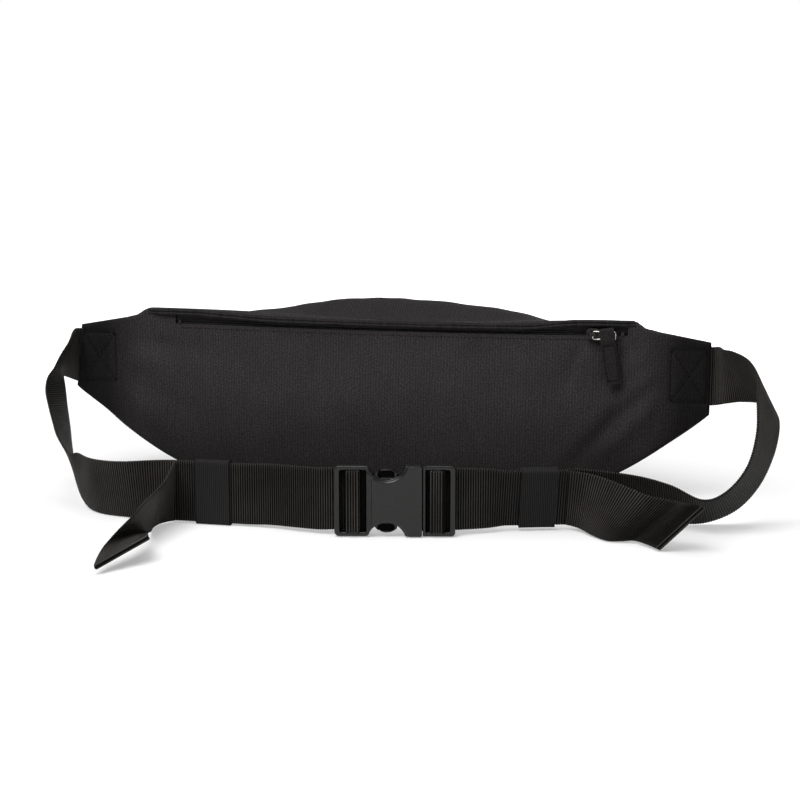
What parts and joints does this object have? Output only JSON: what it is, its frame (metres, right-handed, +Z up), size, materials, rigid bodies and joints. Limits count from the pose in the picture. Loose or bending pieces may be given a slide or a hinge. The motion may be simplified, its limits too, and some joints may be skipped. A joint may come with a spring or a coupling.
{
  "type": "waist pack",
  "caption": "Waist pack with a stuffed main compartment, a zipped back pocket, flat wings and a webbing belt closed by a side-release buckle.",
  "frame": {"origin": "underside of the base panel, on the surface the bag stands on, under the middle of the bag's width and depth", "axes": "+X to the right as the wearer's side is seen, +Y from the wearer's side to the front of the bag, +Z up"},
  "size_m": [0.4894, 0.3264, 0.1256],
  "materials": {
    "canvas": "woven polyester canvas, matt",
    "lining": "thin plain-woven nylon",
    "foam": "closed-cell foam sheet",
    "webbing": "ribbed polyester webbing",
    "elastic": "ribbed elastic",
    "zip_tape": "woven zip tape",
    "zip_coil": "nylon coil",
    "zip_metal": "plated die casting, slightly worn",
    "thread": "sewing thread",
    "buckle_plastic": "fine-grained moulding"
  },
  "bodies": {
    "bag": {"back_panel": "canvas", "welt_upper": "canvas", "welt_lower": "canvas", "pocket_lining": "lining", "back_foam": "foam", "front_panel": "canvas", "inner_lining": "lining", "base_panel": "canvas", "rear_strip": "canvas", "top_end_left": "canvas", "top_end_right": "canvas", "main_tape_rear": "zip_tape", "main_coil_rear": "zip_coil", "main_stops": "zip_metal", "pocket_tape_upper": "zip_tape", "pocket_tape_lower": "zip_tape", "pocket_coils": "zip_coil", "pocket_stops": "zip_metal", "binding_left": "lining", "binding_right": "lining", "box_stitch_left": "thread", "box_stitch_right": "thread", "belt_left": "webbing", "belt_left_loop": "webbing", "belt_left_tail": "webbing", "belt_left_hem": "webbing", "belt_right": "webbing", "belt_right_loop": "webbing", "belt_right_tail": "webbing", "belt_right_hem": "webbing", "buckle_male": "buckle_plastic"},
    "lip": {"top_lip": "canvas", "main_tape_front": "zip_tape", "main_coil_front": "zip_coil"},
    "main_slider": {"main_slider": "zip_metal"},
    "main_puller": {"main_ring": "zip_metal", "main_tab": "canvas"},
    "pocket_slider": {"pocket_slider": "zip_metal"},
    "pocket_puller": {"pocket_ring": "zip_metal", "pocket_tab": "canvas"},
    "keeper_left": {"keeper_left": "elastic"},
    "keeper_right": {"keeper_right": "elastic"},
    "buckle_female": {"buckle_female": "buckle_plastic"},
    "prong_upper": {"prong_upper": "buckle_plastic"},
    "prong_lower": {"prong_lower": "buckle_plastic"}
  },
  "joints": [
    {"name": "lip_open", "type": "hinge", "parent": "bag", "child": "lip", "pos_m": [0, 0.01, 0.1256], "axis": [-1, 0, 0], "range_deg": [0, 75]},
    {"name": "main_slider_slide", "type": "slide", "parent": "bag", "child": "main_slider", "axis": [1, 0, 0], "range_m": [-0.28, 0]},
    {"name": "main_puller_swing", "type": "hinge", "parent": "main_slider", "child": "main_puller", "pos_m": [0.14, -0.021, 0.116], "axis": [0, -1, 0], "range_deg": [0, 150]},
    {"name": "pocket_slider_slide", "type": "slide", "parent": "bag", "child": "pocket_slider", "axis": [1, 0, 0], "range_m": [-0.272, 0.012]},
    {"name": "pocket_puller_swing", "type": "hinge", "parent": "pocket_slider", "child": "pocket_puller", "pos_m": [0.141, -0.04515, 0.1109], "axis": [0, 0, -1], "range_deg": [0, 160]},
    {"name": "keeper_left_slide", "type": "slide", "parent": "bag", "child": "keeper_left", "axis": [1, 0, 0], "range_m": [-0.008, 0.008]},
    {"name": "keeper_right_slide", "type": "slide", "parent": "bag", "child": "keeper_right", "axis": [0.9563, 0.2924, 0], "range_m": [-0.005, 0.005]},
    {"name": "buckle_release", "type": "slide", "parent": "bag", "child": "buckle_female", "axis": [-0.9781, -0.2079, 0], "range_m": [0, 0.032], "deforming": ["belt_left_loop", "prong_upper", "prong_lower"]},
    {"name": "prong_upper_press", "type": "hinge", "parent": "bag", "child": "prong_upper", "pos_m": [0.04627, -0.15482, 0.0343], "axis": [0.2079, -0.9781, 0], "range_deg": [0, 7], "stiffness_Nm_per_rad": 0.3},
    {"name": "prong_lower_press", "type": "hinge", "parent": "bag", "child": "prong_lower", "pos_m": [0.04627, -0.15482, 0.0099], "axis": [-0.2079, 0.9781, 0], "range_deg": [0, 7], "stiffness_Nm_per_rad": 0.3}
  ]
}
